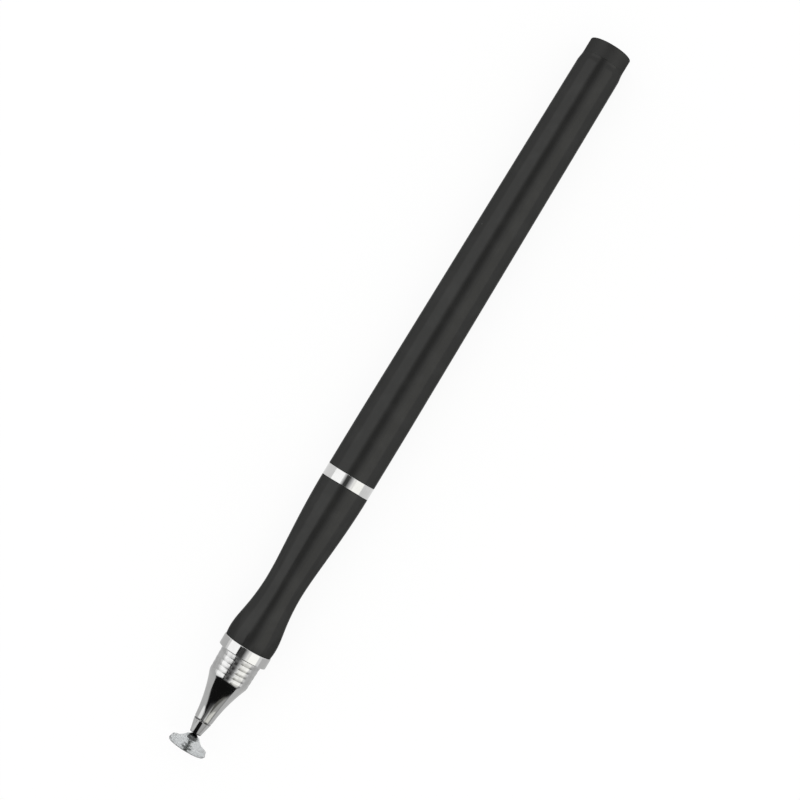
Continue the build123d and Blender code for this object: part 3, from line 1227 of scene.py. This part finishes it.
@dataclass
class Grip(Assembly):
    """The black waisted grip and the bush that takes the nose."""

    lip: Knot = Knot(0.0, 4.37, 0.12)
    shoulder: Knot = Knot(1.5, 4.475, 0.005)
    front_flank: Knot = Knot(5.6, 3.96, -0.166)
    waist: Knot = Knot(11.2, 3.445, -0.014)
    rear_flank: Knot = Knot(17.0, 3.705, 0.076)
    haunch: Knot = Knot(24.0, 4.21, 0.06)
    rear_radius: float = 4.46
    edge: float = 0.05
    bush_radius: float = 3.0
    coupling_radius: float = 2.9
    bore_radius: float = 2.0
    pitch: float = 0.4
    rubbed_reach: float = 9.0

    def build(self) -> None:
        """Build and dress every piece of the sub-assembly."""
        span = Span.of("grip")
        rubbed = self.band(span.front + self.waist.station, self.rubbed_reach)
        lacquer = Lacquer("black_lacquer_grip", BLACK, SATIN, rubbed)
        self.fit("grip", self.grip(span), lacquer, Body.PEN, Slot.BLACK_LACQUER)
        self.keep("grip_bush", Finishes.BRASS)

    def grip(self, span: Span) -> Outline:
        """Draw the grip, bored for the bush in front and the coupling behind.

        Args:
            span: The grip's span.

        Returns:
            The outline.
        """
        drawn = (self.lip, self.shoulder, self.front_flank, self.waist, self.rear_flank, self.haunch)
        knots = [Knot(span.front + knot.station, knot.radius, knot.slope) for knot in drawn]
        knots[0] = Knot(span.front + self.edge, self.lip.radius, self.lip.slope)
        knots.append(Knot(span.back - self.edge, self.rear_radius))
        bush_back, coupling_front = Span.of("grip_bush").back, Span.of("coupling").front
        return (
            Outline(span.front, self.bush_radius)
            .front_edge(span.front, self.lip.radius, self.edge)
            .curve(knots, self.pitch)
            .edge(span.back, self.rear_radius - self.edge)
            .line(span.back, self.coupling_radius)
            .line(coupling_front, self.coupling_radius)
            .line(coupling_front, self.bore_radius)
            .line(bush_back, self.bore_radius)
            .line(bush_back, self.bush_radius)
            .close()
        )


@dataclass
class Waistband(Assembly):
    """The bright trim ring between grip and barrel, and the coupling under it."""

    inner_radius: float = 2.9
    edge: float = 0.12
    worn_reach: float = 0.3

    def build(self) -> None:
        """Build and dress every piece of the sub-assembly."""
        span = Span.of("centre_ring")
        worn = (self.band(span.back, self.worn_reach),)
        chrome = Chrome("chrome_ring", BRIGHT, roughness=0.07, worn=worn)
        self.fit("centre_ring", self.ring(span), chrome, Body.PEN, Slot.CHROME)
        self.keep("coupling", Finishes.BRASS)
        self.keep("coupling_seal", Finishes.RUBBER)

    def ring(self, span: Span) -> Outline:
        """Draw the ring, with its edges rounded.

        Args:
            span: The ring's span.

        Returns:
            The outline.
        """
        return (
            Outline(span.front, self.inner_radius)
            .front_edge(span.front, span.radius, self.edge)
            .back_edge(span.back, span.radius, self.edge)
            .line(span.back, self.inner_radius)
            .close()
        )


@dataclass
class Barrel(Assembly):
    """The black barrel, its soft shoulder and the plug that ends it."""

    edge: float = 0.05
    straight: float = 11.0
    taper_radius: float = 4.06
    shoulder_length: float = 1.7
    shoulder_radius: float = 3.88
    shoulder_pitch: float = 0.08
    bore_radius: float = 3.3
    tail_edge: float = 0.04
    tail_round: float = 0.2
    spigot_gap: float = 0.04
    spigot_length: float = 6.0
    spigot_chamfer: float = 0.4
    groove_room: float = 0.1
    groove_radius: float = 2.5
    rubbed_reach: float = 4.0
    tail_rubbed_reach: float = 1.5

    def build(self) -> None:
        """Build and dress every piece of the sub-assembly."""
        barrel, plug = Span.of("upper_barrel"), Span.of("tail_plug")
        rubbed = self.band(barrel.back, self.rubbed_reach)
        lacquer = Lacquer("black_lacquer_barrel", BLACK, SATIN, rubbed)
        self.fit("upper_barrel", self.barrel(barrel), lacquer, Body.PEN, Slot.BLACK_LACQUER)
        tail_rubbed = self.band(plug.back, self.tail_rubbed_reach)
        matched = Lacquer("black_plastic_tail", BLACK, roughness=0.45, rubbed=tail_rubbed, spray_depth=1e-6)
        self.fit("tail_plug", self.plug(plug, barrel.back), matched, Body.PEN, Slot.BLACK_PLASTIC)
        self.keep("barrel_bush", Finishes.BRASS)
        self.keep("plug_ring", Finishes.RUBBER)

    def barrel(self, span: Span) -> Outline:
        """Draw the barrel: straight front, long taper, soft shoulder and bore.

        Args:
            span: The barrel's span.

        Returns:
            The outline.
        """
        shoulder = span.back - self.shoulder_length
        drop = Knot(shoulder, self.taper_radius), Knot(span.back, self.shoulder_radius)
        return (
            Outline(span.front, self.bore_radius)
            .front_edge(span.front, span.radius, self.edge)
            .line(span.front + self.straight, span.radius)
            .line(shoulder, self.taper_radius)
            .curve(drop, self.shoulder_pitch)
            .line(span.back, self.bore_radius)
            .close()
        )

    def plug(self, span: Span, barrel_back: float) -> Outline:
        """Draw the tail plug: grooved spigot, end post and rounded end.

        Args:
            span: The plug's span.
            barrel_back: Station of the barrel's end, which the plug seats on.

        Returns:
            The outline.
        """
        ring, spigot = Span.of("plug_ring"), self.bore_radius - self.spigot_gap
        front = barrel_back - self.spigot_length
        groove_front, groove_back = ring.front - self.groove_room, ring.back + self.groove_room
        return (
            Outline(front, 0)
            .line(front, spigot - self.spigot_chamfer)
            .line(front + self.spigot_chamfer, spigot)
            .line(groove_front, spigot)
            .line(groove_front, self.groove_radius)
            .line(groove_back, self.groove_radius)
            .line(groove_back, spigot)
            .line(barrel_back, spigot)
            .front_edge(barrel_back, span.radius, self.tail_edge)
            .back_edge(span.back, span.radius, self.tail_round, steps=8)
            .line(span.back, 0)
        )


# The studio


@dataclass(frozen=True)
class Table:
    """The white table top, which keeps the pen's shadow and looks white in metal and glass."""

    radius: float = 4.0
    segments: int = 96
    colour: Colour = (0.86, 0.86, 0.86)
    glow: float = 0.9

    def build(self) -> None:
        """Lay the table top under the pen."""
        bpy.ops.object.select_all(action="DESELECT")
        bpy.ops.mesh.primitive_circle_add(vertices=self.segments, radius=self.radius, fill_type="NGON")
        floor = bpy.context.object
        floor.name = floor.data.name = "table_top"
        floor.data.materials.append(self.material())
        log.info("%s: stage", floor.name)

    def material(self) -> bpy.types.Material:
        """Make a paper that glows white to the rays that see it.

        Returns:
            The material.
        """
        material = bpy.data.materials.new("white_table")
        board = NodeBoard.of(material)
        path = board.add("ShaderNodeLightPath")
        camera, glossy, through = (path.outputs[ray.value] for ray in Ray)
        seen = board.math("MAXIMUM", camera, board.math("MAXIMUM", glossy, through))
        share = board.math("MULTIPLY", seen, self.glow)
        paper = board.add("ShaderNodeBsdfDiffuse", {"Color": (*self.colour, 1.0)})
        glow = board.add("ShaderNodeEmission", {"Color": WHITE, "Strength": 1.0})
        mixed = board.add("ShaderNodeMixShader", {0: share, 1: paper.outputs[0], 2: glow.outputs[0]})
        board.add("ShaderNodeOutputMaterial", {"Surface": mixed.outputs[0]})
        return material


@dataclass(frozen=True)
class Room:
    """The white room round the table."""

    strength: float = 1.0

    def build(self) -> None:
        """Make the world white."""
        world = bpy.data.worlds.new("white_room")
        board = NodeBoard.of(world)
        back = board.add("ShaderNodeBackground", {"Color": WHITE, "Strength": self.strength})
        board.add("ShaderNodeOutputWorld", {"Surface": back.outputs[0]})
        bpy.context.scene.world = world


@dataclass(frozen=True)
class Card:
    """A card of one brightness that shows only as a reflection in metal and lacquer."""

    axis_height: float
    name: str
    brightness: float

    def build(self) -> None:
        """Shape the card and dress it."""
        self.shape()
        bpy.ops.object.transform_apply(location=True, rotation=True, scale=True)
        card = bpy.context.object
        card.name = card.data.name = self.name
        material = bpy.data.materials.new(self.name)
        board = NodeBoard.of(material)
        cloth = board.add("ShaderNodeEmission", {"Color": WHITE, "Strength": self.tone(board)})
        board.add("ShaderNodeOutputMaterial", {"Surface": cloth.outputs[0]})
        card.data.materials.append(material)
        card.visible_camera = card.visible_diffuse = card.visible_transmission = card.visible_shadow = False
        log.info("%s: stage", self.name)

    def shape(self) -> None:
        """Model the card, and leave it selected."""
        raise NotImplementedError

    def tone(self, board: NodeBoard) -> Any:
        """Return how bright the card is, as a number or as a socket that varies over it."""
        return self.brightness

    def sheet(self, place: Sequence[float], size: Sequence[float], tip: float = 0.0) -> None:
        """Lay a flat sheet.

        Args:
            place: Its middle.
            size: Its extent along X, Y and Z, with any number where it has none.
            tip: How far it is tipped up about Y.
        """
        bpy.ops.object.select_all(action="DESELECT")
        bpy.ops.mesh.primitive_plane_add(size=1.0, location=place, rotation=(0, tip, 0))
        bpy.ops.object.mode_set(mode="EDIT")
        bpy.ops.mesh.select_all(action="SELECT")
        bpy.ops.transform.resize(value=size)
        bpy.ops.object.mode_set(mode="OBJECT")


@dataclass(frozen=True)
class LevelCard(Card):
    """A level card over the pen, set by the angles of its sides as seen from the pen."""

    height: float
    ends: Pair
    sides: Pair

    def shape(self) -> None:
        """Hang the card over the pen's axis."""
        left, right = (self.across(side) for side in self.sides)
        front, back = self.ends
        place = ((front + back) / 2, (left + right) / 2, self.axis_height + self.height)
        self.sheet(place, (back - front, left - right, 1.0))

    def across(self, angle: float) -> float:
        """Return how far across the card an angle reaches, as seen from the pen."""
        return self.height * math.tan(math.radians(angle))


@dataclass(frozen=True)
class Flag(LevelCard):
    """A black card close over the nose, whose mirror image sharpens the dark stripe on flange and ribs."""

    name: str = "flag_over_nose"
    brightness: float = 0.03
    height: float = 0.05
    ends: Pair = (-0.095, -0.046)
    sides: Pair = (26.4, 19.0)


@dataclass(frozen=True)
class LongCard(LevelCard):
    """A black card high over the whole pen, with long sides that fade to the white of the room."""

    name: str = "card_over_pen"
    brightness: float = 0.06
    height: float = 0.55
    ends: Pair = (-0.45, 0.60)
    sides: Pair = (25.0, -20.0)
    black_sides: Pair = (13.5, 0.0)
    nose_left: float = 22.0
    nose_fade: Pair = (-0.118, -0.1)
    paler: float = 0.14
    paler_fade: Pair = (-0.14, -0.20)
    front_share: float = 0.06
    front_fade: Pair = (-0.29, -0.45)

    def tone(self, board: NodeBoard) -> Socket:
        """Fade the black to white at the sides, to grey before the nose and to darkness at the front.

        Args:
            board: The card's board.

        Returns:
            The brightness's socket.
        """
        place = board.parts(board.place())
        left_end, right_end = (self.across(side) for side in self.sides)
        left, right = (self.across(side) for side in self.black_sides)
        start = board.ramp(place["X"], *self.nose_fade, self.across(self.nose_left), left)
        fades = board.fade(place["Y"], start, left_end), board.fade(place["Y"], right, right_end)
        paler = board.fade(place["X"], *self.paler_fade)
        cloth = board.math("MULTIPLY_ADD", paler, self.paler, self.brightness)
        front = board.fade(place["X"], *self.front_fade)
        kept = board.math("MULTIPLY_ADD", front, self.front_share - 1.0, 1.0)
        return board.math("MULTIPLY", board.math("ADD", board.math("ADD", *fades), cloth), kept)


@dataclass(frozen=True)
class Tent(Card):
    """A grey tent in front of the tip, with the dark opening that the nose mirrors.

    Its edges are angles as seen from the nose, each with where it begins and where it ends.
    """

    name: str = "tent_before_tip"
    brightness: float = GREY
    station: float = -0.06
    radius: float = 0.7
    segments: int = 96
    rings: int = 64
    rim: Pair = (8.0, 20.0)
    black: float = 0.008
    shade: float = 0.35
    skirt: Pair = (3.2, 5.7)
    lean: float = 0.06
    left: Pair = (-59.0, -53.0)
    middle: Pair = (52.0, 58.0)
    slant: float = 0.18
    right: Pair = (76.0, 84.0)

    def nose(self) -> Vector:
        """Return the tent's middle, on the pen's axis."""
        return Vector((self.station, 0, self.axis_height))

    def rims(self) -> list[float]:
        """Return how far ahead of the nose the rim begins and ends."""
        return [self.radius * math.sin(math.radians(angle)) for angle in self.rim]

    def shape(self) -> None:
        """Cut the tent from a sphere: the part over the axis and in front of the rim."""
        start = self.nose() - Vector((self.rims()[0], 0, 0))
        bpy.ops.object.select_all(action="DESELECT")
        bpy.ops.mesh.primitive_uv_sphere_add(
            segments=self.segments, ring_count=self.rings, radius=self.radius, location=self.nose()
        )
        bpy.ops.object.mode_set(mode="EDIT")
        for point, away in ((self.nose(), (0, 0, -1)), (start, (1, 0, 0))):
            bpy.ops.mesh.select_all(action="SELECT")
            bpy.ops.mesh.bisect(plane_co=point, plane_no=away, clear_outer=True)
        bpy.ops.object.mode_set(mode="OBJECT")

    def tone(self, board: NodeBoard) -> Socket:
        """Open the grey by a black and a shaded stretch over the skirt, and fade it to white at the rim.

        Args:
            board: The card's board.

        Returns:
            The brightness's socket.
        """
        away = board.parts(board.vector("SUBTRACT", board.place(), self.nose()))
        ahead, across = (board.math("MULTIPLY", away[axis], -1.0) for axis in "XY")
        turn = board.math("DEGREES", board.math("ARCTAN2", across, ahead))
        climb = board.math("ARCSINE", board.math("DIVIDE", away["Z"], self.radius))
        height = board.math("DEGREES", climb)
        opening = board.ramp(board.math("MULTIPLY_ADD", turn, self.lean, height), *self.skirt)
        slanted = board.math("MULTIPLY_ADD", height, self.slant, turn)
        left, right = (board.ramp(turn, *edge) for edge in (self.left, self.right))
        middle = board.ramp(slanted, *self.middle)
        tone: Any = self.brightness
        for first, last, there in ((left, middle, self.black), (middle, right, self.shade)):
            share = board.math("MULTIPLY", opening, board.math("SUBTRACT", first, last))
            tone = board.math("MULTIPLY_ADD", share, there - self.brightness, tone)
        rim = board.ramp(ahead, *self.rims(), 1.0, 0.0)
        return board.math("MULTIPLY_ADD", rim, board.math("SUBTRACT", 1.0, tone), tone)


@dataclass(frozen=True)
class Mat(Card):
    """A grey mat before the pen, which the sides of the nose mirror."""

    name: str = "mat_before_tip"
    brightness: float = GREY
    back: float = -0.045
    size: float = 3.0
    lift: float = 0.0001

    def shape(self) -> None:
        """Lay the mat on the table."""
        self.sheet((self.back - self.size / 2, 0, self.lift), (self.size, self.size, 1.0))


@dataclass(frozen=True)
class Bounce(Card):
    """A small pale card beside the tip, which the ferrule mirrors, set by its reach from the axis."""

    across: Pair
    up: Pair
    station: float = -0.07

    def shape(self) -> None:
        """Stand the card across the pen."""
        place = (self.station, sum(self.across) / 2, self.axis_height + sum(self.up) / 2)
        size = (1.0, self.across[1] - self.across[0], self.up[1] - self.up[0])
        self.sheet(place, size, tip=math.pi / 2)


@dataclass(frozen=True)
class Softbox:
    """A long lamp beside the camera, set by the angles of its sides as seen from the pen."""

    axis_height: float
    name: str
    sides: Pair
    radiance: float
    colour: Colour
    ends: Pair = (-0.24, 0.24)
    distance: float = 0.35

    # Energy of an area lamp for each square metre and each unit of radiance
    ENERGY = 4.0

    def build(self) -> None:
        """Hang the lamp over the pen, turned to it."""
        middle = math.radians(sum(self.sides) / 2)
        spread = math.radians(abs(self.sides[1] - self.sides[0]))
        width, length = 2 * self.distance * math.tan(spread / 2), self.ends[1] - self.ends[0]
        across, up = self.distance * math.sin(middle), self.distance * math.cos(middle)
        place = (sum(self.ends) / 2, across, self.axis_height + up)
        bpy.ops.object.light_add(type="AREA", location=place, rotation=(-middle, 0, 0))
        lamp = bpy.context.object
        lamp.name = lamp.data.name = self.name
        lamp.data.shape = "RECTANGLE"
        lamp.data.size, lamp.data.size_y = length, width
        lamp.data.energy = self.ENERGY * self.radiance * width * length
        lamp.data.color = self.colour
        lamp.visible_camera = False
        log.info("%s: lamp", self.name)


@dataclass(frozen=True)
class Camera:
    """The camera over the pen, turned so that the pen lies from lower left to upper right."""

    axis_height: float
    lens: float = 87.1
    sensor: float = 36.0
    near: float = 0.01
    height: float = 0.33
    foot: float = -0.0079
    aim: Pair = (-0.0004, -0.00033)
    up: Pair = (0.8545, 0.5195)

    def build(self) -> None:
        """Set the camera up and look through it."""
        place = Vector((self.foot, self.aim[1], self.axis_height + self.height))
        behind = (place - Vector((*self.aim, self.axis_height))).normalized()
        right = Vector((*self.up, 0)).cross(behind).normalized()
        turn = Matrix((right, behind.cross(right), behind)).transposed()
        bpy.ops.object.camera_add(location=place, rotation=turn.to_euler())
        camera = bpy.context.object
        camera.data.sensor_width = self.sensor
        camera.data.lens = self.lens
        camera.data.clip_start = self.near
        bpy.context.scene.camera = camera


@dataclass(frozen=True)
class Studio:
    """The white table and room, the cards that the chrome mirrors, the lamps and the camera."""

    axis_height: float
    white: Colour = (1.0, 1.0, 1.0)
    warm: Colour = (1.0, 0.99, 0.9)
    warmer: Colour = (1.0, 0.98, 0.88)

    def build(self) -> None:
        """Build all that stands round the pen."""
        for item in (Table(), Room(), *self.cards(), *self.lamps(), Camera(self.axis_height)):
            item.build()
        bpy.context.scene.view_settings.view_transform = "Standard"

    def cards(self) -> list[Card]:
        """Set out the cards that the pen mirrors.

        Returns:
            The cards.
        """
        axis = self.axis_height
        return [
            LongCard(axis),
            Flag(axis),
            Tent(axis),
            Mat(axis),
            Bounce(axis, "bounce_left", brightness=0.8, across=(0.0046, 0.0085), up=(-0.001, 0.0087)),
            Bounce(
                axis, "bounce_right", brightness=0.55, across=(-0.0085, -0.0024), up=(0.0036, 0.0087)
            ),
        ]

    def lamps(self) -> list[Softbox]:
        """Set out the lamps on both sides of the camera.

        Returns:
            The lamps.
        """
        axis = self.axis_height
        return [
            Softbox(axis, "softbox_left", sides=(27, 77), radiance=0.46, colour=self.white),
            Softbox(axis, "softbox_right", sides=(-32, -73), radiance=0.48, colour=self.warm),
            Softbox(axis, "softbox_right_inner", sides=(-20, -32), radiance=0.24, colour=self.warmer),
            Softbox(
                axis, "softbox_right_front", sides=(-16, -80), radiance=0.11, colour=self.warm,
                ends=(-0.34, -0.24),
            ),
        ]


def main() -> None:
    """Load the frame, build and dress the pen piece by piece, and set up the studio."""
    logging.basicConfig(level=logging.INFO, format="%(message)s")
    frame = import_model()
    lathe = Lathe.on("upper_barrel")
    for kind in (TouchDisc, Pivot, PushInTip, Nose, Grip, Waistband, Barrel):
        log.info("building %s", kind.__name__)
        kind(frame, lathe).build()
    Studio(lathe.axis_height).build()


if __name__ == "__main__":
    main()
